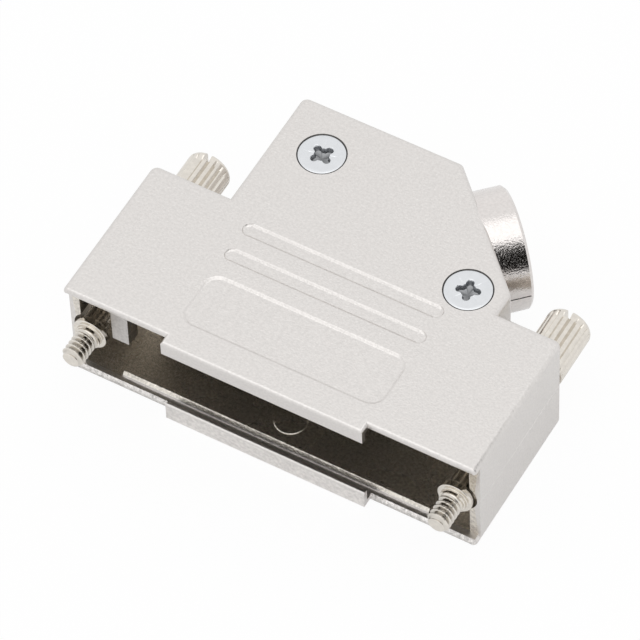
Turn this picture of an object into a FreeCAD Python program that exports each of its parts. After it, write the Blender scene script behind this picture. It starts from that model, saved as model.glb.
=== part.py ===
import FreeCAD, Part
import itertools
import math
import os
from types import SimpleNamespace

import Sketcher
from FreeCAD import Placement, Rotation, Vector

# A die-cast hood for a 25-way D-sub connector, with a cable exit at 45 degrees.
# X runs across the hood, Y from the mating face into the hood, Z up. The origin is midway
# between the two jackscrews, on the plane of the shells' front edges, at the parting plane.

# Driving dimensions, in millimetres and degrees
DRIVING_SIZES = [
    ("screw_pitch", 47.04),
    ("screw_to_side", 2.88),
    ("hood_thickness", 14.6),
    ("shoulder_depth", 20.2),
    ("hood_length", 37.0),
    ("neck_left", 16.3),
    ("neck_right", 18.2),
    ("exit_face", 29.35),
    ("plate", 1.0),
    ("wall", 1.4),
    ("flange_seat", 1.1),
    ("tab_width", 25.8),
    ("tab_reach", 1.3),
    ("tab_thickness", 0.7),
    ("upper_tab_height", 2.3),
    ("lower_tab_height", 2.8),
    ("tab_bevel", 0.2),
    ("lead_in", 0.3),
    ("edge_round", 0.6),
    ("front_round", 0.4),
    ("corner_round", 0.9),
    ("neck_round", 0.9),
    ("recess_width", 25.8),
    ("recess_depth", 0.3),
    ("recess_taper", 30.0),
    ("slot_height", 1.85),
    ("near_slot_y", 13.15),
    ("far_slot_y", 17.15),
    ("label_front", 2.4),
    ("label_height", 7.6),
    ("label_round", 1.9),
    ("exit_shift", 15.18),
    ("collar_sink", 0.05),
    ("collar_reach", 4.05),
    ("collar_chamfer", 0.35),
    ("exit_bore", 11.0),
    ("thread_diameter", 2.84),
    ("thread_chamfer", 0.35),
    ("stud_reach", 3.85),
    ("shoulder_diameter", 4.3),
    ("shoulder_front", 0.3),
    ("shoulder_length", 0.9),
    ("shank_diameter", 3.0),
    ("knob_diameter", 5.5),
    ("knob_length", 7.4),
    ("knob_round", 0.75),
    ("knob_gap", 0.1),
    ("groove_width", 0.42),
    ("groove_depth", 0.26),
    ("groove_start", 0.5),
    ("driver_slot_width", 0.8),
    ("driver_slot_depth", 1.25),
    ("running_clearance", 0.1),
    ("shoulder_clearance", 0.3),
    ("jackscrew_float", 5.2),
    ("web_front", 9.0),
    ("web_thickness", 1.2),
    ("web_inset", 4.02),
    ("tongue_height", 0.6),
    ("tongue_clearance", 0.05),
    ("parting_chamfer", 0.1),
    ("rear_screw_x", -10.25),
    ("rear_screw_y", 30.5),
    ("side_screw_x", 13.7),
    ("side_screw_y", 21.5),
    ("rear_screw_turn", 59.0),
    ("side_screw_turn", 15.0),
    ("case_thread", 2.9),
    ("case_head", 5.6),
    ("case_screw_length", 10.0),
    ("head_sink", 0.05),
    ("countersink_gap", 0.15),
    ("cross_width", 0.8),
    ("cross_span", 2.9),
    ("cross_depth", 1.1),
    ("boss_diameter", 6.4),
    ("screw_clearance", 0.15),
    ("tapped_clearance", 0.05),
    ("tapped_depth", 4.5),
    ("stop_post_inset", 4.77),
    ("stop_post_width", 2.2),
    ("stop_post_depth", 1.9),
    ("stop_post_bevel", 0.15),
    ("rib_inset", 3.62),
    ("rib_front", 0.9),
    ("rib_depth", 0.75),
    ("rib_height", 0.6),
    ("rib_bevel", 0.35),
    ("ejector_diameter", 4.0),
    ("ejector_y", 4.7),
    ("ejector_height", 0.12),
    ("ejector_bevel", 0.08),
    ("clamp_inset", 10.2),
    ("clamp_spacing", 14.8),
    ("clamp_post_diameter", 4.4),
    ("clamp_width", 4.4),
    ("clamp_strip", 0.8),
    ("clamp_ear_round", 1.8),
    ("cable_radius", 4.2),
    ("cradle_depth", 2.4),
    ("clamp_thread", 2.4),
    ("clamp_head", 4.4),
    ("clamp_head_height", 1.6),
    ("clamp_screw_length", 4.4),
]
SHEET = "Sizes"
FULL_TURN = 360.0
HALF_TURN = 180.0
CLAMP_ANGLE = -45.0
COUNTERSINK_ANGLE = 90.0
KNOB_GROOVES = 20
DIAGONAL = math.sqrt(2)
OVERRUN = 1.0
TOLERANCE = 1e-4
MOST_OVERLAP = 0.001


class Size:
    """A length that carries its value and the sheet expression that gives it."""

    def __init__(self, value, text):
        self.value = value
        self.text = text

    def __add__(self, other):
        other = as_size(other)
        return Size(self.value + other.value, f"({self.text} + {other.text})")

    def __sub__(self, other):
        other = as_size(other)
        return Size(self.value - other.value, f"({self.text} - {other.text})")

    def __mul__(self, factor):
        return Size(self.value * factor, f"({self.text} * {factor:.10g})")

    def __truediv__(self, divisor):
        return Size(self.value / divisor, f"({self.text} / {divisor:.10g})")

    def __neg__(self):
        return self * -1

    __radd__ = __add__
    __rmul__ = __mul__


def as_size(number):
    """A plain number as a Size, and a Size as it is."""
    if isinstance(number, Size):
        return number
    return Size(float(number), f"{float(number):.10g}")


def make_sheet(document):
    """Write the driving dimensions into the spreadsheet, and return them as Sizes by name."""
    sheet = document.addObject("Spreadsheet::Sheet", SHEET)
    for row, (alias, number) in enumerate(DRIVING_SIZES, start=1):
        sheet.set(f"A{row}", alias)
        sheet.set(f"B{row}", str(number))
        sheet.setAlias(f"B{row}", alias)
    document.recompute()
    return SimpleNamespace(**{name: Size(value, f"{SHEET}.{name}") for name, value in DRIVING_SIZES})


document = FreeCAD.newDocument("dsub_hood")
size = make_sheet(document)

# Values that several pieces share
screw_x = size.screw_pitch / 2
half_width = screw_x + size.screw_to_side
half_thickness = size.hood_thickness / 2
cavity_height = half_thickness - size.plate
collar_radius = half_thickness - size.collar_sink
shank_hole = size.shank_diameter + 2 * size.running_clearance
shoulder_hole = size.shoulder_diameter + 2 * size.shoulder_clearance
tapped_hole = size.case_thread + 2 * size.tapped_clearance
clearance_hole = size.case_thread + 2 * size.screw_clearance
countersink = size.case_head + 2 * size.countersink_gap
clamp_tapped_hole = size.clamp_thread + 2 * size.tapped_clearance
case_screws = [
    ("case_screw_rear", size.rear_screw_x, size.rear_screw_y, size.rear_screw_turn),
    ("case_screw_side", size.side_screw_x, size.side_screw_y, size.side_screw_turn),
]


def from_exit(outward, across):
    """The point that lies outward along the cable's direction and across it, from the origin."""
    return (outward + across) / DIAGONAL, (outward - across) / DIAGONAL


def clamp_points():
    """The places of the two clamp screws, on a line across the cable."""
    outward = size.exit_face - size.clamp_inset
    return [from_exit(outward, -size.exit_shift + side * size.clamp_spacing / 2) for side in (-1, 1)]


def new_body(label):
    body = document.addObject("PartDesign::Body", label)
    body.Label = label
    return body


def origin_plane(body, role):
    return next(item for item in body.Origin.OriginFeatures if item.Role == role)


def new_sketch(body, name, role="XY_Plane", level=None):
    """A sketch on one of the body's own planes, moved along the plane's normal by level."""
    sketch = body.newObject("Sketcher::SketchObject", f"{body.Label}_{name}")
    sketch.AttachmentSupport = (origin_plane(body, role), [""])
    sketch.MapMode = "FlatFace"
    if level is not None:
        sketch.AttachmentOffset = Placement(Vector(0, 0, level.value), Rotation())
        sketch.setExpression("AttachmentOffset.Base.z", level.text)
    return sketch


def constrain(sketch, kind, *where, value):
    """Add a dimension to the sketch and bind it to the sheet."""
    index = sketch.addConstraint(Sketcher.Constraint(kind, *where, value.value))
    sketch.renameConstraint(index, f"size_{index}")
    sketch.setExpression(f"Constraints.size_{index}", value.text)


def pin(sketch, geometry, point, x, y):
    """Fix a point of the sketch at x and y from the sketch's origin."""
    constrain(sketch, "DistanceX", -1, 1, geometry, point, value=as_size(x))
    constrain(sketch, "DistanceY", -1, 1, geometry, point, value=as_size(y))


def draw_polygon(sketch, corners):
    """A closed outline of straight edges through the corners."""
    corners = [(as_size(x), as_size(y)) for x, y in corners]
    vectors = [Vector(x.value, y.value, 0) for x, y in corners]
    lines = []
    for start, end in zip(vectors, vectors[1:] + vectors[:1]):
        lines.append(sketch.addGeometry(Part.LineSegment(start, end)))
    for line, following in zip(lines, lines[1:] + lines[:1]):
        sketch.addConstraint(Sketcher.Constraint("Coincident", line, 2, following, 1))
    for line, (x, y) in zip(lines, corners):
        pin(sketch, line, 1, x, y)


def draw_rectangle(sketch, left, bottom, right, top):
    draw_polygon(sketch, [(left, bottom), (right, bottom), (right, top), (left, top)])


def draw_circle(sketch, x, y, diameter):
    x, y = as_size(x), as_size(y)
    shape = Part.Circle(Vector(x.value, y.value, 0), Vector(0, 0, 1), diameter.value / 2)
    circle = sketch.addGeometry(shape)
    pin(sketch, circle, 3, x, y)
    constrain(sketch, "Diameter", circle, value=diameter)


def draw_rounded_rectangle(sketch, left, bottom, right, top, radius):
    """Four straight edges joined by quarter circles; with a radius of half the height, by half circles."""
    stadium = 2 * radius.value > (top - bottom).value - TOLERANCE
    lines = [
        (left + radius, bottom, right - radius, bottom),
        (right - radius, top, left + radius, top),
    ]
    if not stadium:
        lines.insert(1, (right, bottom + radius, right, top - radius))
        lines.append((left, top - radius, left, bottom + radius))
    indices = []
    for x0, y0, x1, y1 in lines:
        segment = Part.LineSegment(Vector(x0.value, y0.value, 0), Vector(x1.value, y1.value, 0))
        index = sketch.addGeometry(segment)
        pin(sketch, index, 1, x0, y0)
        pin(sketch, index, 2, x1, y1)
        indices.append(index)
    if stadium:
        middle = (bottom + top) / 2
        centres = [(right - radius, middle, -90, 90), (left + radius, middle, 90, 270)]
    else:
        centres = [
            (right - radius, bottom + radius, -90, 0),
            (right - radius, top - radius, 0, 90),
            (left + radius, top - radius, 90, 180),
            (left + radius, bottom + radius, 180, 270),
        ]
    for index, following, (x, y, first, last) in zip(indices, indices[1:] + indices[:1], centres):
        circle = Part.Circle(Vector(x.value, y.value, 0), Vector(0, 0, 1), radius.value)
        arc = sketch.addGeometry(Part.ArcOfCircle(circle, math.radians(first), math.radians(last)))
        sketch.addConstraint(Sketcher.Constraint("Coincident", arc, 1, index, 2))
        sketch.addConstraint(Sketcher.Constraint("Coincident", arc, 2, following, 1))
        constrain(sketch, "DistanceX", -1, 1, arc, 3, value=x)


def add_pad(body, sketch, length, down=False, both_ways=False):
    """Material from the sketch's plane; down is against the plane's normal."""
    pad = body.newObject("PartDesign::Pad", f"{sketch.Name}_pad")
    pad.Profile = sketch
    pad.Length = length.value
    pad.setExpression("Length", length.text)
    pad.Reversed = down
    pad.Midplane = both_ways


def add_pocket(body, sketch, length, up=False, both_ways=False, taper=None):
    """A cut from the sketch's plane; up is along the plane's normal."""
    pocket = body.newObject("PartDesign::Pocket", f"{sketch.Name}_cut")
    pocket.Profile = sketch
    pocket.Length = length.value
    pocket.setExpression("Length", length.text)
    pocket.Reversed = up
    pocket.Midplane = both_ways
    if taper is not None:
        pocket.TaperAngle = taper.value
        pocket.setExpression("TaperAngle", taper.text)
    return pocket


def add_revolution(body, sketch, axis, kind="PartDesign::Revolution", angle=FULL_TURN, backwards=False):
    """Turn the sketch about one of its own axes, as material or, for a groove, as a cut."""
    turned = body.newObject(kind, f"{sketch.Name}_turned")
    turned.Profile = sketch
    turned.ReferenceAxis = (sketch, [axis])
    turned.Angle = angle
    turned.Reversed = backwards
    return turned


def dress_edges(body, name, kind, value_name, value, wanted):
    """Fillet or chamfer the edges of the body's last feature that the test wanted picks out."""
    document.recompute()
    base = body.Tip
    names = [f"Edge{number}" for number, edge in enumerate(base.Shape.Edges, start=1) if wanted(edge)]
    dressed = body.newObject(kind, f"{body.Label}_{name}")
    dressed.Base = (base, names)
    setattr(dressed, value_name, value.value)
    dressed.setExpression(value_name, value.text)


def round_edges(body, name, radius, wanted):
    dress_edges(body, name, "PartDesign::Fillet", "Radius", radius, wanted)


def chamfer_edges(body, name, width, wanted):
    dress_edges(body, name, "PartDesign::Chamfer", "Size", width, wanted)


def near(number, target):
    return abs(number - target) < TOLERANCE


def upright_at(x, y):
    """A test for a straight upright edge that stands at x, y."""
    def wanted(edge):
        ends = [vertex.Point for vertex in edge.Vertexes]
        return len(ends) == 2 and all(near(end.x, x.value) and near(end.y, y.value) for end in ends)
    return wanted


def level_edge(height, chosen):
    """A test for an edge at one height whose middle passes the test chosen."""
    def wanted(edge):
        box = edge.BoundBox
        return near(box.ZMin, height.value) and near(box.ZMax, height.value) and chosen(box.Center)
    return wanted


def outline(inset, front):
    """The shell's outline, moved inwards by inset, from its front left corner clockwise."""
    face_sum = (size.exit_face - inset) * DIAGONAL
    rear = size.hood_length - inset
    shoulder = size.shoulder_depth - inset
    neck_left = -size.neck_left + inset
    neck_right = size.neck_right - inset
    side = half_width - inset
    return [
        (-side, front),
        (-side, shoulder),
        (neck_left, shoulder),
        (neck_left, rear),
        (face_sum - rear, rear),
        (neck_right, face_sum - neck_right),
        (neck_right, shoulder),
        (side, shoulder),
        (side, front),
    ]


def cast_half(label, side, tab_height):
    """What both halves share: side is 1 for the upper half and -1 for the lower."""
    body = new_body(label)
    upper = side > 0
    outer_level = side * half_thickness
    inner_level = side * cavity_height

    block = new_sketch(body, "outline")
    draw_polygon(block, outline(as_size(0), as_size(0)))
    add_pad(body, block, half_thickness, down=not upper)

    tab = new_sketch(body, "tab", level=outer_level)
    draw_rectangle(tab, -size.tab_width / 2, -size.tab_reach, size.tab_width / 2, as_size(0))
    add_pad(body, tab, tab_height, down=upper)

    round_outline(body, outer_level)
    add_collar(body, upper)
    chamfer_parting_edges(body)

    cavity = new_sketch(body, "cavity", level=inner_level)
    draw_polygon(cavity, outline(size.wall, as_size(0)))
    add_pocket(body, cavity, cavity_height, up=not upper)

    seat = new_sketch(body, "flange_seat", level=inner_level)
    reach = half_width + OVERRUN
    draw_rectangle(seat, -reach, size.tab_thickness - size.tab_reach, reach, size.flange_seat)
    add_pocket(body, seat, cavity_height, up=not upper)
    bevel_mouth(body, inner_level, outer_level - side * tab_height)

    for name, x, y, _ in case_screws:
        boss = new_sketch(body, f"{name}_boss")
        draw_circle(boss, x, y, size.boss_diameter)
        add_pad(body, boss, cavity_height, down=not upper)

    webs = new_sketch(body, "webs")
    web_outer = half_width - size.wall / 2
    web_inner = screw_x - size.web_inset
    web_back = size.web_front + size.web_thickness
    draw_rectangle(webs, -web_outer, size.web_front, -web_inner, web_back)
    draw_rectangle(webs, web_inner, size.web_front, web_outer, web_back)
    add_pad(body, webs, cavity_height, down=not upper)
    return body


def round_outline(body, outer_level):
    """The soft edges of the casting: its upright corners, then the rim of its flat face."""
    corners = outline(as_size(0), as_size(0))
    groups = [
        ("shoulder_corners", size.corner_round, [corners[1], corners[7]]),
        ("neck_corners", size.neck_round, [corners[3], corners[4]]),
        ("exit_corner", size.corner_round, [corners[5]]),
    ]
    for name, radius, places in groups:
        tests = [upright_at(x, y) for x, y in places]
        round_edges(body, name, radius, lambda edge: any(test(edge) for test in tests))

    def at_front(centre):
        return centre.y < TOLERANCE

    def behind(centre):
        return centre.y > TOLERANCE

    round_edges(body, "rim", size.edge_round, level_edge(outer_level, behind))
    round_edges(body, "front_rim", size.front_round, level_edge(outer_level, at_front))


def bevel_mouth(body, plate_level, tab_level):
    """The bevels that lead a connector in: on the plate's inner front edge and the tab's."""
    def at_plate_front(centre):
        return near(centre.y, 0) and abs(centre.x) > size.tab_width.value / 2

    def at_tab_front(centre):
        return near(centre.y, -size.tab_reach.value)

    chamfer_edges(body, "lead_in", size.lead_in, level_edge(plate_level, at_plate_front))
    chamfer_edges(body, "tab_bevel", size.tab_bevel, level_edge(tab_level, at_tab_front))


def chamfer_parting_edges(body):
    """A fine bevel all round the outside at the parting plane, which shows as a thin line."""
    def behind_seat(centre):
        return centre.y > size.flange_seat.value

    chamfer_edges(body, "parting", size.parting_chamfer, level_edge(as_size(0), behind_seat))


def add_collar(body, upper):
    """Half of the round cable collar, turned about the exit's axis at the parting plane."""
    root = size.exit_face - size.wall
    tip = size.exit_face + size.collar_reach
    axis = -size.exit_shift
    profile = new_sketch(body, "collar")
    draw_polygon(profile, [
        from_exit(root, axis),
        from_exit(tip, axis),
        from_exit(tip, axis + collar_radius),
        from_exit(root, axis + collar_radius),
    ])
    draw_axis(profile, from_exit(root, axis), from_exit(tip, axis))
    add_revolution(body, profile, "Axis0", angle=HALF_TURN, backwards=upper)

    def rim(edge):
        circle = edge.Curve
        if not isinstance(circle, Part.Circle) or not near(circle.Radius, collar_radius.value):
            return False
        return near((circle.Center.x + circle.Center.y) / DIAGONAL, tip.value)

    chamfer_edges(body, "collar_rim", size.collar_chamfer, rim)


def draw_axis(sketch, start, end):
    """A construction line that a turned feature can take as its axis."""
    (x0, y0), (x1, y1) = start, end
    segment = Part.LineSegment(Vector(x0.value, y0.value, 0), Vector(x1.value, y1.value, 0))
    line = sketch.addGeometry(segment, True)
    pin(sketch, line, 1, x0, y0)
    pin(sketch, line, 2, x1, y1)


def bore_cable_path(body):
    """The cable's round way through the collar and the slanted wall."""
    root = size.exit_face - size.wall - OVERRUN
    tip = size.exit_face + size.collar_reach + OVERRUN
    axis = -size.exit_shift
    radius = size.exit_bore / 2
    profile = new_sketch(body, "exit_bore")
    draw_polygon(profile, [
        from_exit(root, axis),
        from_exit(tip, axis),
        from_exit(tip, axis + radius),
        from_exit(root, axis + radius),
    ])
    draw_axis(profile, from_exit(root, axis), from_exit(tip, axis))
    add_revolution(body, profile, "Axis0", kind="PartDesign::Groove")


def bore_jackscrew_ways(body):
    """The shank's holes through the rear wall and web, and the shoulder's wider way in front."""
    ways = [
        ("shoulder_way", size.shoulder_front + size.shoulder_length + size.jackscrew_float, shoulder_hole),
        ("shank_hole", size.shoulder_depth + OVERRUN, shank_hole),
    ]
    for side, x in (("left", -screw_x), ("right", screw_x)):
        for name, depth, diameter in ways:
            way = new_sketch(body, f"{name}_{side}", "XZ_Plane", level=-depth)
            draw_circle(way, x, as_size(0), diameter)
            add_pocket(body, way, depth + OVERRUN, up=True)


def step_outline(outer_inset, inner_inset):
    """The stepped joint's ring between two insets of the outline, behind the shoulders' ways."""
    front = size.shoulder_front + size.shoulder_length + size.jackscrew_float + OVERRUN
    return outline(outer_inset, front) + outline(inner_inset, front)[::-1]


def make_upper_shell():
    body = cast_half("upper_shell", 1, size.upper_tab_height)

    rebate = new_sketch(body, "rebate")
    draw_polygon(rebate, step_outline(size.wall / 2, size.wall + size.tongue_clearance))
    add_pocket(body, rebate, size.tongue_height + size.tongue_clearance, up=True)

    post = new_sketch(body, "stop_post")
    inner = size.stop_post_inset - screw_x
    back = size.flange_seat + size.stop_post_depth
    draw_rectangle(post, inner - size.stop_post_width, size.flange_seat, inner, back)
    add_pad(body, post, cavity_height)

    def at_post_front(centre):
        return near(centre.y, size.flange_seat.value) and near(centre.x, (inner - size.stop_post_width / 2).value)

    chamfer_edges(body, "stop_post_bevel", size.stop_post_bevel, level_edge(as_size(0), at_post_front))

    bore_cable_path(body)
    bore_jackscrew_ways(body)
    cut_recesses(body)
    cut_countersinks(body)
    return body


def cut_recesses(body):
    """Two finger slots and a wide shallow field in the flat face, all of one width."""
    left, right = -size.recess_width / 2, size.recess_width / 2
    slot_radius = size.slot_height / 2
    fields = [
        ("label_field", size.label_front, size.label_front + size.label_height, size.label_round),
        ("near_slot", size.near_slot_y - slot_radius, size.near_slot_y + slot_radius, slot_radius),
        ("far_slot", size.far_slot_y - slot_radius, size.far_slot_y + slot_radius, slot_radius),
    ]
    for name, front, back, radius in fields:
        field = new_sketch(body, name, level=half_thickness)
        draw_rounded_rectangle(field, left, front, right, back, radius)
        add_pocket(body, field, size.recess_depth, taper=-size.recess_taper)


def cut_countersinks(body):
    """Clearance holes for the case screws, countersunk for their heads."""
    holes = new_sketch(body, "case_holes", level=half_thickness)
    for _, x, y, _ in case_screws:
        draw_circle(holes, x, y, clearance_hole)
    document.recompute()
    hole = body.newObject("PartDesign::Hole", "upper_shell_countersinks")
    hole.Profile = holes
    hole.Threaded = False
    hole.DepthType = "ThroughAll"
    hole.Diameter = clearance_hole.value
    hole.setExpression("Diameter", clearance_hole.text)
    hole.HoleCutType = "Countersink"
    hole.HoleCutCustomValues = True
    hole.HoleCutDiameter = countersink.value
    hole.setExpression("HoleCutDiameter", countersink.text)
    hole.HoleCutCountersinkAngle = COUNTERSINK_ANGLE


def make_lower_shell():
    body = cast_half("lower_shell", -1, size.lower_tab_height)

    tongue = new_sketch(body, "tongue")
    draw_polygon(tongue, step_outline(size.wall / 2 + size.tongue_clearance, size.wall))
    add_pad(body, tongue, size.tongue_height)

    rib = new_sketch(body, "rib", level=-cavity_height)
    reach = screw_x - size.rib_inset
    draw_rectangle(rib, -reach, size.rib_front, reach, size.rib_front + size.rib_depth)
    add_pad(body, rib, size.rib_height)

    def at_rib_front(centre):
        return near(centre.y, size.rib_front.value)

    chamfer_edges(body, "rib_bevel", size.rib_bevel, level_edge(size.rib_height - cavity_height, at_rib_front))

    add_clamp_seat(body)
    bore_cable_path(body)
    bore_jackscrew_ways(body)

    tapped = new_sketch(body, "case_holes")
    for _, x, y, _ in case_screws:
        draw_circle(tapped, x, y, tapped_hole)
    add_pocket(body, tapped, size.tapped_depth)

    mark = new_sketch(body, "ejector_mark", level=-cavity_height)
    draw_circle(mark, as_size(0), size.ejector_y, size.ejector_diameter)
    add_pad(body, mark, size.ejector_height)

    def on_mark(centre):
        return near(centre.x, 0) and near(centre.y, size.ejector_y.value)

    mark_level = size.ejector_height - cavity_height
    chamfer_edges(body, "ejector_bevel", size.ejector_bevel, level_edge(mark_level, on_mark))
    return body


def add_clamp_seat(body):
    """Two tapped posts for the clamp's screws, joined by a cradle that the cable lies in."""
    centre = size.exit_face - size.clamp_inset
    half_cradle = size.cradle_depth / 2
    reach = size.clamp_spacing / 2
    cradle = new_sketch(body, "cradle")
    draw_polygon(cradle, [
        from_exit(centre - half_cradle, -size.exit_shift - reach),
        from_exit(centre + half_cradle, -size.exit_shift - reach),
        from_exit(centre + half_cradle, -size.exit_shift + reach),
        from_exit(centre - half_cradle, -size.exit_shift + reach),
    ])
    add_pad(body, cradle, cavity_height, down=True)
    for number, (x, y) in enumerate(clamp_points(), start=1):
        post = new_sketch(body, f"clamp_post_{number}")
        draw_circle(post, x, y, size.clamp_post_diameter)
        add_pad(body, post, cavity_height, down=True)
    groove = new_sketch(body, "cradle_groove")
    axis = -size.exit_shift
    start, end = centre - half_cradle - OVERRUN, centre + half_cradle + OVERRUN
    draw_polygon(groove, [
        from_exit(start, axis),
        from_exit(end, axis),
        from_exit(end, axis + size.cable_radius),
        from_exit(start, axis + size.cable_radius),
    ])
    draw_axis(groove, from_exit(start, axis), from_exit(end, axis))
    add_revolution(body, groove, "Axis0", kind="PartDesign::Groove")
    holes = new_sketch(body, "clamp_holes")
    for x, y in clamp_points():
        draw_circle(holes, x, y, clamp_tapped_hole)
    add_pocket(body, holes, size.clamp_screw_length)


def make_thumbscrew(label, x):
    """A jackscrew turned about Y: thread, retaining shoulder, shank, and a grooved, slotted knob."""
    body = new_body(label)
    shoulder_back = size.shoulder_front + size.shoulder_length
    knob_front = size.shoulder_depth + size.knob_gap
    knob_back = knob_front + size.knob_length
    thread_radius = size.thread_diameter / 2
    shank_radius = size.shank_diameter / 2
    knob_radius = size.knob_diameter / 2
    bevel = size.knob_round * (1 - 1 / DIAGONAL)
    centre = as_size(0)
    profile = new_sketch(body, "profile")
    draw_polygon(profile, [
        (centre, -size.stud_reach),
        (thread_radius - size.thread_chamfer, -size.stud_reach),
        (thread_radius, -size.stud_reach + size.thread_chamfer),
        (thread_radius, size.shoulder_front),
        (size.shoulder_diameter / 2, size.shoulder_front),
        (size.shoulder_diameter / 2, shoulder_back),
        (shank_radius, shoulder_back),
        (shank_radius, knob_front),
        (knob_radius, knob_front),
        (knob_radius, knob_back - size.knob_round),
        (knob_radius - bevel, knob_back - bevel),
        (knob_radius - size.knob_round, knob_back),
        (centre, knob_back),
    ])
    add_revolution(body, profile, "V_Axis")
    cut_driver_slot(body, knob_back)
    cut_knob_grooves(body, knob_front)
    body.Placement = Placement(Vector(x.value, 0, 0), Rotation())
    body.setExpression("Placement.Base.x", x.text)
    return body


def cut_driver_slot(body, knob_back):
    """The screwdriver slot across the knob's end, upright at rest."""
    slot = new_sketch(body, "driver_slot")
    half_slot = size.driver_slot_width / 2
    draw_rectangle(slot, -half_slot, knob_back - size.driver_slot_depth, half_slot, knob_back + OVERRUN)
    add_pocket(body, slot, size.knob_diameter + 2 * OVERRUN, both_ways=True)


def cut_knob_grooves(body, knob_front):
    """V grooves round the knob, as wide at its surface as named, from behind its front face on."""
    knob_radius = size.knob_diameter / 2
    top = knob_radius + size.groove_depth
    groove = new_sketch(body, "groove", "XZ_Plane", level=-(knob_front + size.groove_start))
    draw_polygon(groove, [
        (as_size(0), knob_radius - size.groove_depth),
        (size.groove_width, top),
        (-size.groove_width, top),
    ])
    cut = add_pocket(body, groove, size.knob_length - size.groove_start - size.knob_round)
    document.recompute()
    pattern = body.newObject("PartDesign::PolarPattern", f"{body.Label}_grooves")
    pattern.Originals = [cut]
    pattern.Axis = (origin_plane(body, "Y_Axis"), [""])
    pattern.Angle = FULL_TURN
    pattern.Occurrences = KNOB_GROOVES
    body.Tip = pattern


def make_case_screw(label, x, y, turn):
    """A countersunk screw turned about Z, with a cross recess in its head."""
    body = new_body(label)
    centre = as_size(0)
    top = half_thickness - size.head_sink
    head_radius = size.case_head / 2
    thread_radius = size.case_thread / 2
    neck = top - (head_radius - thread_radius)
    tip = top - size.case_screw_length
    profile = new_sketch(body, "profile", "XZ_Plane")
    draw_polygon(profile, [
        (centre, tip),
        (thread_radius, tip),
        (thread_radius, neck),
        (head_radius, top),
        (centre, top),
    ])
    add_revolution(body, profile, "V_Axis")
    arm = size.cross_width / 2
    span = size.cross_span / 2
    cross = new_sketch(body, "cross", level=top)
    draw_polygon(cross, [
        (-span, -arm), (-arm, -arm), (-arm, -span), (arm, -span), (arm, -arm), (span, -arm),
        (span, arm), (arm, arm), (arm, span), (-arm, span), (-arm, arm), (-span, arm),
    ])
    add_pocket(body, cross, size.cross_depth)
    place_at(body, x, y, turn.value)
    return body


def place_at(body, x, y, angle):
    """Move the body to x, y, turned about Z."""
    body.Placement = Placement(Vector(x.value, y.value, 0), Rotation(Vector(0, 0, 1), angle))
    body.setExpression("Placement.Base.x", x.text)
    body.setExpression("Placement.Base.y", y.text)


def make_cable_clamp():
    """A bent strip: two flat ears on the posts and an arch over the cable, drawn across the cable."""
    body = new_body("cable_clamp")
    inner = size.cable_radius
    outer = size.cable_radius + size.clamp_strip
    end = size.clamp_spacing / 2 + size.clamp_width / 2
    thick = size.clamp_strip
    seat = size.tapped_clearance
    profile = new_sketch(body, "profile", "XZ_Plane")
    draw_arch(profile, inner, outer, end, thick, seat)
    add_pad(body, profile, size.clamp_width, both_ways=True)

    def ear_corner(edge):
        box = edge.BoundBox
        return near(abs(box.Center.x), end.value) and near(box.XLength, 0) and near(box.YLength, 0)

    round_edges(body, "ears", size.clamp_ear_round, ear_corner)
    holes = new_sketch(body, "holes", level=seat + thick)
    for side in (-1, 1):
        draw_circle(holes, side * size.clamp_spacing / 2, as_size(0), size.clamp_thread + 2 * size.screw_clearance)
    add_pocket(body, holes, thick + OVERRUN)
    x, y = from_exit(size.exit_face - size.clamp_inset, -size.exit_shift)
    place_at(body, x, y, CLAMP_ANGLE)
    return body


def draw_arch(sketch, inner, outer, end, thick, seat):
    """The strap's section: an ear, a half ring and an ear, one strip thick."""
    foot = seat
    top = seat + thick
    lines = [
        (-end, foot, -inner, foot),
        (inner, foot, end, foot),
        (end, foot, end, top),
        (end, top, outer, top),
        (-outer, top, -end, top),
        (-end, top, -end, foot),
    ]
    indices = []
    for x0, y0, x1, y1 in lines:
        segment = Part.LineSegment(Vector(x0.value, y0.value, 0), Vector(x1.value, y1.value, 0))
        index = sketch.addGeometry(segment)
        pin(sketch, index, 1, x0, y0)
        pin(sketch, index, 2, x1, y1)
        indices.append(index)
    for radius, height, first, last in ((inner, foot, 0, 1), (outer, top, 3, 4)):
        circle = Part.Circle(Vector(0, height.value, 0), Vector(0, 0, 1), radius.value)
        arc = sketch.addGeometry(Part.ArcOfCircle(circle, 0, math.pi))
        right, left = ((indices[1], 1), (indices[0], 2)) if first == 0 else ((indices[3], 2), (indices[4], 1))
        sketch.addConstraint(Sketcher.Constraint("Coincident", arc, 1, *right))
        sketch.addConstraint(Sketcher.Constraint("Coincident", arc, 2, *left))
        constrain(sketch, "DistanceY", -1, 1, arc, 3, value=height)


def make_clamp_screw(label, x, y):
    """A cheese-head screw turned about Z, with a plain slot across its head."""
    body = new_body(label)
    centre = as_size(0)
    seat = size.tapped_clearance + size.clamp_strip
    top = seat + size.clamp_head_height
    head_radius = size.clamp_head / 2
    thread_radius = size.clamp_thread / 2
    tip = seat - size.clamp_screw_length
    profile = new_sketch(body, "profile", "XZ_Plane")
    draw_polygon(profile, [
        (centre, tip),
        (thread_radius, tip),
        (thread_radius, seat),
        (head_radius, seat),
        (head_radius, top),
        (centre, top),
    ])
    add_revolution(body, profile, "V_Axis")
    slot = new_sketch(body, "slot", level=top)
    half_slot = size.cross_width / 2
    draw_rectangle(slot, -size.clamp_head, -half_slot, size.clamp_head, half_slot)
    add_pocket(body, slot, size.clamp_head_height / 2)
    place_at(body, x, y, CLAMP_ANGLE)
    return body


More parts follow.
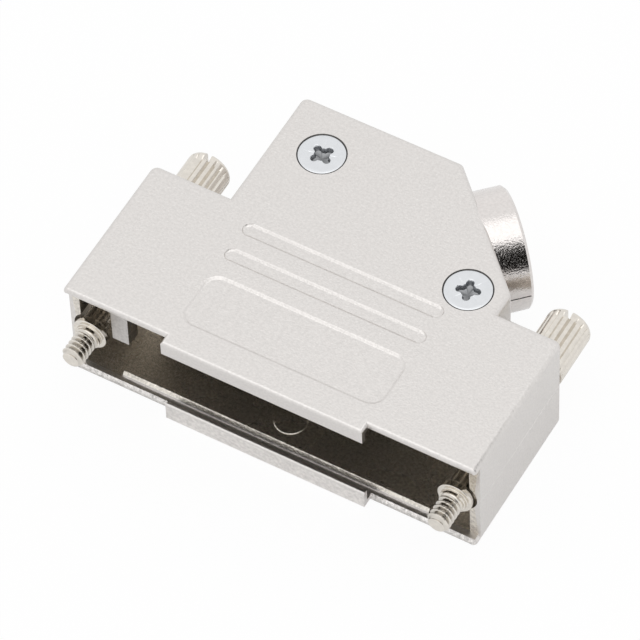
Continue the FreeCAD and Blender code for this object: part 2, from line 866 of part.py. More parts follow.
def make_parts():
    """Every separate piece, as one body each."""
    bodies = [make_upper_shell(), make_lower_shell()]
    bodies += [make_case_screw(*screw) for screw in case_screws]
    bodies += [make_thumbscrew("thumbscrew_left", -screw_x), make_thumbscrew("thumbscrew_right", screw_x)]
    bodies.append(make_cable_clamp())
    for label, (x, y) in zip(("clamp_screw_rear", "clamp_screw_front"), clamp_points()):
        bodies.append(make_clamp_screw(label, x, y))
    return bodies


def check_parts(bodies):
    """Stop before anything is written if a feature failed, a solid is faulty or two pieces overlap."""
    failed = [item.Name for item in document.Objects if "Invalid" in item.State or "Error" in item.State]
    if failed:
        raise RuntimeError("features that failed: " + ", ".join(failed))
    for body in bodies:
        if body.Shape.isNull() or not body.Shape.isValid() or len(body.Shape.Solids) != 1:
            raise RuntimeError(f"{body.Label} is not one valid solid")
    for body, other in itertools.combinations(bodies, 2):
        if body.Shape.common(other.Shape).Volume > MOST_OVERLAP:
            raise RuntimeError(f"{body.Label} and {other.Label} overlap")


def main():
    bodies = make_parts()
    document.recompute()
    check_parts(bodies)
    os.makedirs("parts", exist_ok=True)
    for body in bodies:
        body.Shape.exportStep(f"parts/{body.Label}.step")
        print(f"{body.Label}: {body.Shape.Volume:.2f} cubic millimetres")


main()
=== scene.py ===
import math

import bmesh
import bpy
import numpy as np
from bpy.props import FloatProperty, FloatVectorProperty, IntProperty, PointerProperty
from bpy.types import Operator, Panel, PropertyGroup
from mathutils import Matrix, Vector


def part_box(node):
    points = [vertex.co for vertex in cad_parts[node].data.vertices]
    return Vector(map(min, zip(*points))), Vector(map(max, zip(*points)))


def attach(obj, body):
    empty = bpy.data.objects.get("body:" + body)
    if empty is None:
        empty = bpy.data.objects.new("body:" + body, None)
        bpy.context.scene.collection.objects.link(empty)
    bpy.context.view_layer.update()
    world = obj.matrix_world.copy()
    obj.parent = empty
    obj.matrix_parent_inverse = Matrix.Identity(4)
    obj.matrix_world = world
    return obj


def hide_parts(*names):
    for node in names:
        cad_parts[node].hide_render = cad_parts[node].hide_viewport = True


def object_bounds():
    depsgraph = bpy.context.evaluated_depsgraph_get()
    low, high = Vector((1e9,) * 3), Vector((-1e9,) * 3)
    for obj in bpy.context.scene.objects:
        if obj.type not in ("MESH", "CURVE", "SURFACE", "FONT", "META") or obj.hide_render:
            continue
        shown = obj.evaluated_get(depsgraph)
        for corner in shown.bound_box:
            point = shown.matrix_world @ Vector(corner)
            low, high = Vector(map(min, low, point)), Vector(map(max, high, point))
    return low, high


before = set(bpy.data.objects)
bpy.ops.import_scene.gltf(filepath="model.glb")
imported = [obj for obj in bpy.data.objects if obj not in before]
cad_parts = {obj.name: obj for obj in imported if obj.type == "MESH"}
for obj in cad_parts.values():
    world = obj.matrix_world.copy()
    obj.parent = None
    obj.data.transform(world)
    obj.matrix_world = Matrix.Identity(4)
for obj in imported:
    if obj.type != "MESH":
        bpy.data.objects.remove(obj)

bl_info = {
    "name": "Angled D-sub hood",
    "version": (1, 0, 0),
    "blender": (4, 5, 0),
    "location": "3D View > Sidebar > Hood",
    "description": "Finishes for a cast metal connector hood, its screws and its cable clamp",
    "category": "Object",
}

MM = 0.001
FULL_TURN = 2 * math.pi
CAD_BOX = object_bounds()
FACE = CAD_BOX[1][2]  # the height of the flat face

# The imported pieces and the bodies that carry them
HOUSING = "housing"
SHELL_NODES = ("upper_shell", "lower_shell")
SCREW_NODES = ("case_screw_rear", "case_screw_side")
CLAMP_NODES = ("cable_clamp", "clamp_screw_rear", "clamp_screw_front")
THUMBSCREW_BODIES = {
    "thumbscrew_left": "left_thumbscrew",
    "thumbscrew_right": "right_thumbscrew",
}

# Angles below which the edges of each kind of piece are shaded smooth
SCREW_SMOOTH = math.radians(35)
THUMBSCREW_SMOOTH = math.radians(40)
CLAMP_SMOOTH = math.radians(30)

# The recesses in the flat face, as front, back and corner radius in millimetres
RECESSES = ((2.4, 10.0, 1.9), (12.225, 14.075, 0.925), (16.225, 18.075, 0.925))
RECESS_HALF_WIDTH = 12.9 * MM

# The outline of the halves: the wings' back, the neck's two sides and its back
WING_BACK = 20.2 * MM
NECK_LEFT = -16.3 * MM
NECK_RIGHT = 18.2 * MM
NECK_BACK = 37.0 * MM

# The cable exit, whose axis leaves at 45 degrees between x and y
EXIT_FACE = 29.35 * MM  # how far out along it the slanted face at the collar's root lies
EXIT_ASIDE = 15.18 * MM  # how far beside the origin it passes
BORE_REACH = 5.9 * MM  # a radius between the bore and the collar's outside
COLLAR_REACH = 7.6 * MM  # a radius that takes in the collar

# The mouth, with the lower plate's tab and the stop post
TAB_HALF_WIDTH = 12.9 * MM
TAB_LOW = -5.0 * MM  # the tab's front lies below this height
LIP_LOW = -5.9 * MM  # and the front of the plate beside it below this one
PLATE_FRONT = 0.3 * MM  # both fronts lie in front of this
POST_X, POST_Y = -19.85 * MM, 1.1 * MM  # the middle of the post's front

# The attribute that holds how deep in a thread, groove or recess a point lies,
# by which the materials paint shade into these hollows
DEPTH = "depth"

# The finishes of the cast halves, in the order of their materials
OUTSIDE, INSIDE, COLLAR, SEAM_SHADE, POST_SHADE, LIP, TAB = range(7)


def length_property(name, description, default_mm):
    """A length shown in the panel in millimetres and kept in metres."""
    return FloatProperty(name=name, description=description, default=default_mm * MM,
                         precision=5, unit="LENGTH")


def angle_property(name, description, degrees):
    """An angle shown in degrees and kept in radians."""
    return FloatProperty(name=name, description=description, default=math.radians(degrees),
                         unit="ROTATION")


def colour_property(name, description, red, green, blue):
    """A linear colour."""
    return FloatVectorProperty(name=name, description=description, default=(red, green, blue),
                               subtype="COLOR", size=3, min=0.0, max=1.0)


def factor_property(name, description, default):
    """A share between 0 and 1."""
    return FloatProperty(name=name, description=description, default=default,
                         subtype="FACTOR", min=0.0, max=1.0)


class HoodShellSettings(PropertyGroup):
    """The two cast halves: their plating, and where its look changes."""

    plating: colour_property("Plating", "Colour of the satin plated outside", 0.71, 0.685, 0.665)
    # Darker than the plating outside: painted shade inside the hood
    inside: colour_property("Inside", "Colour of the plating inside the hood", 0.70, 0.66, 0.60)
    collar: colour_property("Collar", "Colour of the smooth cable collar", 0.74, 0.705, 0.685)
    satin: factor_property("Satin", "Roughness of the outside", 0.29)
    gloss_inside: factor_property("Inside gloss", "Roughness of the inside", 0.27)
    grain: length_property("Grain", "Size of the fine texture that the casting die leaves", 0.22)
    recess_depth: length_property("Recess depth", "Depth of the slots and the label field", 0.3)
    recess_rim: length_property("Recess rim", "How far in the recesses' floors begin", 0.13)
    edge_width: length_property("Edge width", "Width of the rounding on sharp cast edges", 0.07)
    wall: length_property("Wall", "Depth below the outside at which the inside begins", 0.6)
    smooth_angle: angle_property("Smooth angle", "Edges flatter than this are shaded smooth", 28.0)


class HoodThumbscrewSettings(PropertyGroup):
    """The two turned thumbscrews, from the threaded tip to the grooved knob."""

    colour: colour_property("Nickel", "Colour of the nickel plating", 0.74, 0.70, 0.64)
    pitch: length_property("Pitch", "Distance between the thread's turns", 0.635)
    thread_depth: length_property("Thread depth", "From the thread's crest to its root", 0.40)
    thread_radius: length_property("Thread radius", "Outside radius of the thread", 1.42)
    neck_radius: length_property("Neck radius", "Radius of the step before the shoulder", 1.62)
    neck_length: length_property("Neck length", "Length of the step in front of the shoulder", 0.55)
    shoulder_radius: length_property("Shoulder radius", "Radius of the retaining shoulder", 2.15)
    shoulder_front: length_property("Shoulder front", "Place of the shoulder's front face", 0.3)
    shoulder_length: length_property("Shoulder length", "Thickness of the shoulder", 0.9)
    shank_radius: length_property("Shank radius", "Radius of the plain shank", 1.5)
    knob_length: length_property("Knob length", "Length of the grooved knob", 7.4)
    knob_round: length_property("Knob rounding", "Radius of the knob's rounded end", 0.75)
    grooves: IntProperty(name="Grooves", description="Number of grooves round the knob",
                         default=20, min=8)
    groove_depth: length_property("Groove depth", "Depth of each groove", 0.24)
    slot_width: length_property("Slot width", "Width of the screwdriver slot", 0.8)
    slot_depth: length_property("Slot depth", "Depth of the screwdriver slot", 1.25)


class HoodCaseScrewSettings(PropertyGroup):
    """The two countersunk screws that hold the halves together."""

    colour: colour_property("Zinc", "Colour of the bluish zinc plating", 0.72, 0.735, 0.755)
    shank_radius: length_property("Shank radius", "Outside radius of the thread", 1.45)
    recess_radius: length_property("Recess radius", "Reach of the cross recess's arms", 1.5)
    recess_core: length_property("Recess core", "Radius of the recess between its arms", 0.92)
    arm_width: length_property("Arm width", "Width of one arm of the recess", 0.92)
    recess_depth: length_property("Recess depth", "Depth of the recess at its middle", 0.9)
    turn_rear: angle_property("Rear turn", "How far the rear screw's recess is turned", 59.0)
    turn_side: angle_property("Side turn", "How far the side screw's recess is turned", 15.0)


class HoodClampSettings(PropertyGroup):
    """The cable clamp and its two screws."""

    colour: colour_property("Steel", "Colour of the zinc plated steel", 0.62, 0.62, 0.61)


class HoodStudioSettings(PropertyGroup):
    """The camera, the pale floor and the soft studio light."""

    azimuth: angle_property("Azimuth", "Camera's turn about the hood from straight in front", 31.69)
    elevation: angle_property("Elevation", "Camera's height angle above the floor", 53.39)
    roll: angle_property("Roll", "Camera's turn about its own axis", -2.53)
    distance: length_property("Distance", "From the camera to the point it is aimed at", 642.5)
    lens: FloatProperty(name="Lens", description="Focal length on a 36 mm wide sensor",
                        default=319.8, unit="CAMERA")
    aim: FloatVectorProperty(name="Aim", description="Point that the camera is aimed at",
                             default=(-0.00155, 0.01440, 0.00022), size=3,
                             subtype="TRANSLATION", precision=5)
    floor: colour_property("Floor", "Colour of the floor", 0.93, 0.93, 0.93)
    sky: FloatProperty(name="Sky", description="Strength of the even light from all round",
                       default=0.85, min=0.0)


class HoodSettings(PropertyGroup):
    """All the hood's settings, by group."""

    shell: PointerProperty(type=HoodShellSettings)
    thumbscrew: PointerProperty(type=HoodThumbscrewSettings)
    case_screw: PointerProperty(type=HoodCaseScrewSettings)
    clamp: PointerProperty(type=HoodClampSettings)
    studio: PointerProperty(type=HoodStudioSettings)


def settings():
    """The settings of the scene at hand."""
    return bpy.context.scene.hood


# Meshes

def ring_faces(rings, columns):
    """Quads between neighbouring rings of a grid that is closed round, as vertex numbers."""
    start = (np.arange(rings - 1) * columns)[:, None]
    here = np.arange(columns)[None, :]
    following = (here + 1) % columns
    corners = (start + here, start + following, start + columns + following, start + columns + here)
    return np.stack(corners, axis=-1).reshape(-1, 4)


def fan_faces(pole, ring):
    """Triangles from a pole to each step of a closed ring, as vertex numbers."""
    return np.stack((np.full(len(ring), pole), np.roll(ring, -1), ring), axis=-1)


def enclosed_volume(points, triangles):
    """Volume inside closed triangles: a sixth of the sum of each triangle's triple product."""
    a, b, c = (points[triangles[:, corner]] for corner in range(3))
    return np.einsum("ij,ij->i", a, np.cross(b, c)).sum() / 6


def turned_mesh(name, rings, depths, smooth_angle):
    """A closed mesh from rings of points, whose first and last rings are single points, or poles.

    The depths, one for each point, say how far it lies below the crests or ridges around it.
    The faces are turned over where the volume inside comes out negative.
    """
    count, columns = rings.shape[0] - 2, rings.shape[1]
    body = rings[1:-1].reshape(-1, 3)
    points = np.concatenate((body, rings[0, :1], rings[-1, :1]))
    first, last = len(body), len(body) + 1
    quads = ring_faces(count, columns)
    start = np.arange(columns)
    end = start + (count - 1) * columns
    fans = np.concatenate((fan_faces(first, start), fan_faces(last, end)[:, ::-1]))
    triangles = np.concatenate((quads[:, [0, 1, 2]], quads[:, [0, 2, 3]], fans))
    if enclosed_volume(points - points.mean(axis=0), triangles) < 0:
        quads, fans = quads[:, ::-1], fans[:, ::-1]
    mesh = bpy.data.meshes.new(name)
    mesh.from_pydata(points.tolist(), [], quads.tolist() + fans.tolist())
    depth = mesh.attributes.new(DEPTH, "FLOAT", "POINT")
    values = np.concatenate((depths[1:-1].ravel(), depths[0, :1], depths[-1, :1]))
    depth.data.foreach_set("value", values)
    finish_shading(mesh, smooth_angle)
    return mesh


def finish_shading(mesh, smooth_angle):
    """Smooth shading, but for the edges that turn more than smooth_angle."""
    mesh.polygons.foreach_set("use_smooth", np.ones(len(mesh.polygons), dtype=bool))
    mesh.set_sharp_from_angle(angle=smooth_angle)
    mesh.update()


def level_broad_faces(mesh, smooth_angle):
    """Shade every corner by the area-weighted mean normal of the faces round it that turn little.

    So a broad flat face stays flat up to its rounded edge, and the edge takes up all of the turn.
    Each corner is paired with all the corners that meet at its vertex, sorted by vertex.
    """
    count = len(mesh.polygons)
    normals, areas = np.empty(count * 3), np.empty(count)
    mesh.polygons.foreach_get("normal", normals)
    mesh.polygons.foreach_get("area", areas)
    normals = normals.reshape(-1, 3)
    corners = len(mesh.loops)
    vertices = np.empty(corners, dtype=np.int64)
    mesh.loops.foreach_get("vertex_index", vertices)
    totals = np.empty(count, dtype=np.int64)
    mesh.polygons.foreach_get("loop_total", totals)
    faces = np.repeat(np.arange(count), totals)
    order = np.argsort(vertices, kind="stable")
    degree = np.bincount(vertices, minlength=len(mesh.vertices))
    first = np.cumsum(degree) - degree
    meeting = degree[vertices]
    corner = np.repeat(np.arange(corners), meeting)
    step = np.arange(len(corner)) - np.repeat(np.cumsum(meeting) - meeting, meeting)
    other = faces[order[first[vertices[corner]] + step]]
    own = faces[corner]
    alike = np.einsum("ij,ij->i", normals[own], normals[other]) > math.cos(smooth_angle)
    shares = np.where(alike, areas[other], 0)[:, None] * normals[other]
    summed = [np.bincount(corner, shares[:, part], corners) for part in range(3)]
    summed = np.stack(summed, axis=-1)
    lengths = np.linalg.norm(summed, axis=1, keepdims=True)
    mesh.normals_split_custom_set(summed / np.maximum(lengths, 1e-20))


def link(name, mesh, *materials):
    """A new object of the scene from a mesh and its materials."""
    piece = bpy.data.objects.new(name, mesh)
    for material in materials:
        mesh.materials.append(material)
    bpy.context.scene.collection.objects.link(piece)
    return piece


def merged_copy(node, name):
    """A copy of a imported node's mesh with its loose triangles joined along their edges."""
    weld = 1e-7
    working = bmesh.new()
    working.from_mesh(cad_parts[node].data)
    bmesh.ops.remove_doubles(working, verts=working.verts, dist=weld)
    mesh = bpy.data.meshes.new(name)
    working.to_mesh(mesh)
    working.free()
    mesh.materials.clear()
    return mesh


def soften_recesses(mesh, values):
    """Raise the recesses' floors by a third and draw them in, so that their sides slope gently.

    A floor point moves by the rim's width towards the nearest point of its recess's middle line,
    or of the field between its corners' centres.
    """
    near, rise = 0.01 * MM, values.recess_depth / 3
    points = np.empty(len(mesh.vertices) * 3)
    mesh.vertices.foreach_get("co", points)
    points = points.reshape(-1, 3)
    for front, back, radius in RECESSES:
        low = np.array((-RECESS_HALF_WIDTH + radius * MM, (front + radius) * MM))
        high = np.array((RECESS_HALF_WIDTH - radius * MM, (back - radius) * MM))
        x, y, z = points.T
        inside = (np.abs(x) < RECESS_HALF_WIDTH) & (y > front * MM) & (y < back * MM)
        floor = inside & (np.abs(z - FACE + values.recess_depth) < near)
        inward = np.clip(points[floor, :2], low, high) - points[floor, :2]
        reach = np.maximum(np.linalg.norm(inward, axis=1, keepdims=True), 1e-9)
        points[floor, :2] += inward / reach * values.recess_rim
        points[floor, 2] += rise
    mesh.vertices.foreach_set("co", points.ravel())
    mesh.update()


def soften_edges(mesh, width, sharp):
    """Round the sharp edges round the mouth and the recesses, once the flat faces are joined up."""
    mouth_depth, mouth_rise = 2.0 * MM, 3.0 * MM
    recess_low, recess_side, recess_back = FACE - 0.25 * MM, 13.2 * MM, 18.4 * MM
    screw_reach = 3.4 * MM
    flat = math.radians(0.2)
    working = bmesh.new()
    working.from_mesh(mesh)
    bmesh.ops.dissolve_limit(working, angle_limit=flat, verts=working.verts, edges=working.edges)
    screws = [(Vector(low) + Vector(high)) / 2 for low, high in map(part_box, SCREW_NODES)]
    chosen = []
    for edge in working.edges:
        middle = (edge.verts[0].co + edge.verts[1].co) / 2
        at_mouth = middle.y < mouth_depth and abs(middle.z) > mouth_rise
        in_field = abs(middle.x) < recess_side and middle.y < recess_back
        at_recess = middle.z > recess_low and in_field
        at_screw = any((middle - screw).xy.length < screw_reach for screw in screws)
        if (at_mouth or at_recess) and not at_screw and edge.calc_length() > 2 * width:
            if len(edge.link_faces) == 2 and edge.calc_face_angle() > sharp:
                chosen.append(edge)
    bmesh.ops.bevel(working, geom=chosen, offset=width, offset_type="OFFSET", segments=2,
                    profile=0.5, affect="EDGES", clamp_overlap=False)
    bmesh.ops.triangulate(working, faces=working.faces)
    working.to_mesh(mesh)
    working.free()


def keep_inside(mesh, box):
    """Bring every point that a rounded corner has pushed out of the box back onto its side."""
    points = np.empty(len(mesh.vertices) * 3)
    mesh.vertices.foreach_get("co", points)
    mesh.vertices.foreach_set("co", np.clip(points.reshape(-1, 3), *box).ravel())
    mesh.update()


# Profiles

def rounded_steps(corners, radius, steps=5):
    """A polyline of (along, out) corners whose inner corners are cut to arcs of one radius."""
    corners = np.asarray(corners, dtype=float)
    points = [corners[:1]]
    for before, corner, after in zip(corners[:-2], corners[1:-1], corners[2:]):
        back, ahead = before - corner, after - corner
        reach = min(radius, np.linalg.norm(back) / 2.2, np.linalg.norm(ahead) / 2.2)
        start = corner + back / np.linalg.norm(back) * reach
        end = corner + ahead / np.linalg.norm(ahead) * reach
        t = np.linspace(0, 1, steps)[:, None]
        points.append((1 - t) ** 2 * start + 2 * t * (1 - t) * corner + t ** 2 * end)
    points.append(corners[-1:])
    return np.concatenate(points)


def refined(profile, spacing):
    """The polyline with its long runs divided so that no step is longer than spacing."""
    runs = np.diff(profile, axis=0)
    steps = np.maximum(1, np.ceil(np.linalg.norm(runs, axis=1) / spacing).astype(int))
    starts = np.repeat(profile[:-1], steps, axis=0)
    moves = np.repeat(runs, steps, axis=0)
    fractions = np.concatenate([np.arange(count) / count for count in steps])[:, None]
    return np.concatenate((starts + moves * fractions, profile[-1:]))


def thread_height(turns):
    """A V thread's height from 0 at the root to 1 at the crest, by turns along the helix.

    Straight flanks between a narrow flat crest and a narrower flat root.
    """
    root_start, flank = 0.90, 0.76
    from_crest = np.abs(turns % 1 - 0.5) * 2
    return np.clip((root_start - from_crest) / flank, 0, 1)


def groove_height(turns, share):
    """The depth of V grooves, 1 at each groove's bottom, by turns from one groove to the next.

    Each groove takes up that share of its turn, and the rest is the ridge between two grooves.
    """
    from_bottom = np.abs(turns % 1 - 0.5) * 2
    return np.clip(1 - from_bottom / share, 0, 1)


# Pieces

def thumbscrew_rings(values, axis, tip, end, columns=240):
    """The thumbscrew's surface by place along the profile and angle round the axis.

    The distance from the axis is the profile's, less the thread's or grooves' depth at that angle.
    Both fade out towards their ends. The second value is 1 in the thread's root and a small part
    of that in a groove's; the material darkens the hollows by it as painted shade.
    """
    tip_rise, tip_round, edge_round, thread_step = 0.02 * MM, 0.2 * MM, 0.12 * MM, 0.035 * MM
    plain_front, groove_start, groove_end = 0.35 * MM, 0.3 * MM, 0.5 * MM
    groove_share, groove_shade = 0.52, 0.08
    neck = values.shoulder_front - values.neck_length
    shoulder_back = values.shoulder_front + values.shoulder_length
    knob_front = end - values.knob_length
    low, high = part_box("thumbscrew_left")
    knob_radius = (high[2] - low[2]) / 2
    root = values.thread_radius - values.thread_depth
    front = rounded_steps([
        (tip, 0.0),
        (tip, root * 0.55),
        (tip + tip_rise, root),
        (tip + values.thread_depth, values.thread_radius),
    ], tip_round)
    thread = refined(np.array([front[-1], (neck, values.thread_radius)]), thread_step)[1:]
    middle = rounded_steps([
        (neck, values.neck_radius),
        (values.shoulder_front, values.neck_radius),
        (values.shoulder_front, values.shoulder_radius),
        (shoulder_back, values.shoulder_radius),
        (shoulder_back, values.shank_radius),
        (knob_front, values.shank_radius),
        (knob_front, knob_radius),
        (knob_front + values.knob_round, knob_radius),
    ], edge_round)
    turn = np.linspace(0, math.pi / 2, 10)
    barrel = np.linspace(knob_front + values.knob_round, end - values.knob_round, 12)[1:-1]
    barrel = np.stack((barrel, np.full_like(barrel, knob_radius)), axis=-1)
    dome = np.stack((
        end - values.knob_round * (1 - np.sin(turn)),
        knob_radius - values.knob_round * (1 - np.cos(turn)),
    ), axis=-1)
    cap = [(end, knob_radius * 0.4), (end, knob_radius * 0.1), (end, 0.0)]
    profile = np.concatenate((front, thread, middle, barrel, dome, cap))
    along, out = profile[:, :1], profile[:, 1:]
    angle = np.linspace(0, FULL_TURN, columns, endpoint=False)[None, :]
    fade_tip = np.clip((along - tip) / (0.5 * values.pitch), 0, 1)
    fade_neck = np.clip((neck - along) / (0.8 * values.pitch), 0, 1)
    helix = along / values.pitch - angle / FULL_TURN
    threaded = np.where(along < neck, 1 - thread_height(helix), 0)
    cut = threaded * fade_tip * fade_neck * values.thread_depth * (out > root)
    fade_knob = np.clip((along - knob_front - plain_front) / groove_start, 0, 1)
    fade_dome = np.clip((end - values.knob_round * 0.8 - along) / groove_end, 0, 1)
    grooved = groove_height(angle / FULL_TURN * values.grooves, groove_share)
    grooved = grooved * fade_knob * fade_dome
    depth = cut / values.thread_depth + grooved * groove_shade
    cut = cut + grooved * values.groove_depth
    radius = np.maximum(out - cut, 0)
    surface = np.stack((
        axis + radius * np.cos(angle),
        np.broadcast_to(along, radius.shape),
        radius * np.sin(angle),
    ), axis=-1)
    return surface, depth


def cut_slot(mesh, axis, width, floor, smooth_angle):
    """Cut a slot of that width, upright through the axis, from the end down to the floor."""
    working = bmesh.new()
    working.from_mesh(mesh)
    planes = (
        ((axis - width / 2, 0, 0), (1, 0, 0)),
        ((axis + width / 2, 0, 0), (1, 0, 0)),
        ((0, floor, 0), (0, 1, 0)),
    )
    for place, normal in planes:
        whole = working.verts[:] + working.edges[:] + working.faces[:]
        bmesh.ops.bisect_plane(working, geom=whole, dist=1e-8, plane_co=place, plane_no=normal)
    removed = []
    for face in working.faces:
        centre = face.calc_center_median()
        if abs(centre.x - axis) < width / 2 and centre.y > floor:
            removed.append(face)
    bmesh.ops.delete(working, geom=removed, context="FACES")
    close_slot(working, axis, width, floor)
    bmesh.ops.recalc_face_normals(working, faces=working.faces)
    working.to_mesh(mesh)
    working.free()
    finish_shading(mesh, smooth_angle)
    level_broad_faces(mesh, smooth_angle)


def close_slot(working, axis, width, floor):
    """Give the cut its two side walls and its floor."""
    near = 1e-7

    def on_wall(vertex, side):
        return abs(vertex.co.x - axis - side * width / 2) < near

    def on_floor(vertex):
        return abs(vertex.co.y - floor) < near

    rim = [edge for edge in working.edges if edge.is_boundary]
    floor_edges = [edge for edge in rim if all(on_floor(vertex) for vertex in edge.verts)]
    for side in (-1, 1):
        wall = [edge for edge in rim if all(on_wall(vertex, side) for vertex in edge.verts)]
        corners = {vertex for edge in wall for vertex in edge.verts if on_floor(vertex)}
        bottom = working.edges.new(tuple(corners))
        floor_edges.append(bottom)
        bmesh.ops.edgeloop_fill(working, edges=wall + [bottom])
    bmesh.ops.edgeloop_fill(working, edges=floor_edges)


def recess_outline(values, angle):
    """The cross recess's reach by angle: four straight arms with round ends, and a round core.

    Within an arm the reach is half its width over the sine of the angle from its middle, or the
    far side of the circle that ends it, and the core's radius where that is more.
    """
    within = np.abs((angle + math.pi / 4) % (math.pi / 2) - math.pi / 4)
    half = values.arm_width / 2
    centre = values.recess_radius - half
    offset = centre * np.sin(within)
    inside = np.clip(half ** 2 - offset ** 2, 0, None)
    round_end = np.where(offset < half, centre * np.cos(within) + np.sqrt(inside), 0)
    side = half / np.maximum(np.sin(within), 1e-6)
    arm = np.where(side < centre / np.cos(within), side, round_end)
    return np.maximum(arm, values.recess_core)


def case_screw_rings(values, centre, low, high, head_radius, turn, columns=288):
    """The screw's surface by place along the profile and angle: recess, flat head, cone and thread.

    From the middle outwards the recess's rings keep to its outline, and the head's rings blend
    from that outline to the round rim, with a fine tick between each two arms. The second value
    is the depth in the recess as a share of the recess's, and 0 outside it; the material darkens
    the recess by it as painted shade.
    """
    # Rings in the recess, by share of its outline and of its depth
    recess_steps = (
        (0.25, 0.97), (0.55, 0.88), (0.80, 0.80), (0.88, 0.62), (0.94, 0.25), (0.98, 0.06),
    )
    # Rings on the head, by share of the way to its rim and depth of the ticks in millimetres
    head_steps = ((0.0, 0.0), (0.06, 0.05), (0.3, 0.05), (0.42, 0.0), (0.75, 0.0), (0.97, 0.0))
    tick_half_angle = 0.07
    rim_start, edge_drop = 1.02, 0.008 * MM  # where the flat head begins round the recess
    flat_share, rim_height = 0.985, 0.05 * MM  # where it ends, and the rounded rim under it
    pitch, thread_depth, run_out = 0.5 * MM, 0.25 * MM, 0.3 * MM
    edge_round, step = 0.03 * MM, 0.06 * MM
    angle = np.linspace(0, FULL_TURN, columns, endpoint=False)
    outline = recess_outline(values, angle - turn)
    rings = [np.zeros((1, columns))]
    heights = [np.full((1, columns), high - values.recess_depth)]
    for share, depth in recess_steps:
        rings.append(outline[None, :] * share)
        heights.append(np.full((1, columns), high - values.recess_depth * depth))
    tick = np.abs((angle - turn) % (math.pi / 2) - math.pi / 4)
    mark = np.clip(1 - tick / tick_half_angle, 0, 1)
    for share, depth in head_steps:
        ring = outline * rim_start * (1 - share) + head_radius * flat_share * share
        drop = 0 if share else edge_drop
        rings.append(ring[None, :])
        heights.append((high - depth * mark * MM - drop)[None, :])
    cone = head_radius - values.shank_radius
    sides = refined(rounded_steps([
        (high, head_radius * flat_share),
        (high - rim_height, head_radius),
        (high - cone, values.shank_radius),
        (low, values.shank_radius),
    ], edge_round)[1:], step)
    thread = 1 - thread_height(sides[:, :1] / pitch - angle[None, :] / FULL_TURN)
    below = np.clip((high - cone - run_out - sides[:, :1]) / run_out, 0, 1)
    rings.append(sides[:, 1:] - thread * below * thread_depth)
    heights.append(np.broadcast_to(sides[:, :1], rings[-1].shape))
    rings.append(np.zeros((1, columns)))
    heights.append(np.full((1, columns), low))
    radius, height = np.concatenate(rings), np.concatenate(heights)
    x = centre[0] + radius * np.cos(angle)
    y = centre[1] + radius * np.sin(angle)
    in_recess = radius < outline * 1.01
    depths = np.where(in_recess, np.clip((high - height) / values.recess_depth, 0, 1), 0)
    return np.stack((x, y, height), axis=-1), depths


# Materials

def new_material(name, colour, roughness):
    """A metal with a colour and a roughness, and its nodes to build on."""
    material = bpy.data.materials.new(name)
    material.use_nodes = True
    shader = material.node_tree.nodes["Principled BSDF"]
    shader.inputs["Base Color"].default_value = (*colour, 1.0)
    shader.inputs["Metallic"].default_value = 1.0
    shader.inputs["Roughness"].default_value = roughness
    return material, shader


def noise(material, size, detail):
    """A noise on object coordinates, with features of about that size and finer ones on them."""
    nodes, links = material.node_tree.nodes, material.node_tree.links
    place = nodes.new("ShaderNodeTexCoord")
    texture = nodes.new("ShaderNodeTexNoise")
    texture.inputs["Scale"].default_value = 1 / size
    texture.inputs["Detail"].default_value = detail
    links.new(place.outputs["Object"], texture.inputs["Vector"])
    return texture


def add_bump(material, shader, texture, depth):
    """Bump of that depth in metres from a texture."""
    nodes, links = material.node_tree.nodes, material.node_tree.links
    bump = nodes.new("ShaderNodeBump")
    bump.inputs["Distance"].default_value = depth
    links.new(texture.outputs["Fac"], bump.inputs["Height"])
    links.new(bump.outputs["Normal"], shader.inputs["Normal"])


def vary(material, shader, socket, texture, low, high):
    """Drive a socket from a noise, from a low value or colour at 0.3 to a high one at 0.7."""
    start, end = 0.3, 0.7
    nodes, links = material.node_tree.nodes, material.node_tree.links
    if isinstance(low, (int, float)):
        spread = nodes.new("ShaderNodeMapRange")
        spread.inputs["From Min"].default_value = start
        spread.inputs["From Max"].default_value = end
        spread.inputs["To Min"].default_value = low
        spread.inputs["To Max"].default_value = high
        links.new(texture.outputs["Fac"], spread.inputs["Value"])
        links.new(spread.outputs["Result"], shader.inputs[socket])
        return
    ramp = nodes.new("ShaderNodeValToRGB")
    for element, place, colour in zip(ramp.color_ramp.elements, (start, end), (low, high)):
        element.position = place
        element.color = (*colour, 1.0)
    links.new(texture.outputs["Fac"], ramp.inputs["Fac"])
    links.new(ramp.outputs["Color"], shader.inputs[socket])


def shade(colour, share):
    """The colour made lighter or darker by a share of itself."""
    return tuple(min(1.0, part * share) for part in colour)


def plated_metal(name, colour, roughness, grain, depth, mottle=0.02, depths=None):
    """Plated metal with a fine grain as bump, mottled colour and slowly changing gloss.

    The mottle is a share of the colour. Where depths is given, hollows are darkened to that share
    as painted shade.
    """
    patch_size, speckle_size = grain * 22, grain * 1.5
    satin, gloss = roughness * 1.03, roughness * 0.97
    dark, light = shade(colour, 1 - mottle), shade(colour, 1 + mottle)
    material, shader = new_material(name, colour, roughness)
    add_bump(material, shader, noise(material, grain, 3.0), depth)
    vary(material, shader, "Roughness", noise(material, patch_size, 3.0), gloss, satin)
    vary(material, shader, "Base Color", noise(material, speckle_size, 2.0), dark, light)
    if depths is not None:
        paint_depth_shade(material, shader, depths)
    return material


def paint_depth_shade(material, shader, share):
    """Scale the metal's colour by the mesh's depth, by 1 at depth 0 and by that share at 1: painted
    shade.
    """
    nodes, links = material.node_tree.nodes, material.node_tree.links
    depth = nodes.new("ShaderNodeAttribute")
    depth.attribute_name = DEPTH
    spread = nodes.new("ShaderNodeMapRange")
    spread.inputs["To Min"].default_value = 1.0
    spread.inputs["To Max"].default_value = share
    links.new(depth.outputs["Fac"], spread.inputs["Value"])
    base = shader.inputs["Base Color"].links[0].from_socket
    scaled = nodes.new("ShaderNodeVectorMath")
    scaled.operation = "SCALE"
    links.new(base, scaled.inputs["Vector"])
    links.new(spread.outputs["Result"], scaled.inputs["Scale"])
    links.new(scaled.outputs["Vector"], shader.inputs["Base Color"])


# Operators

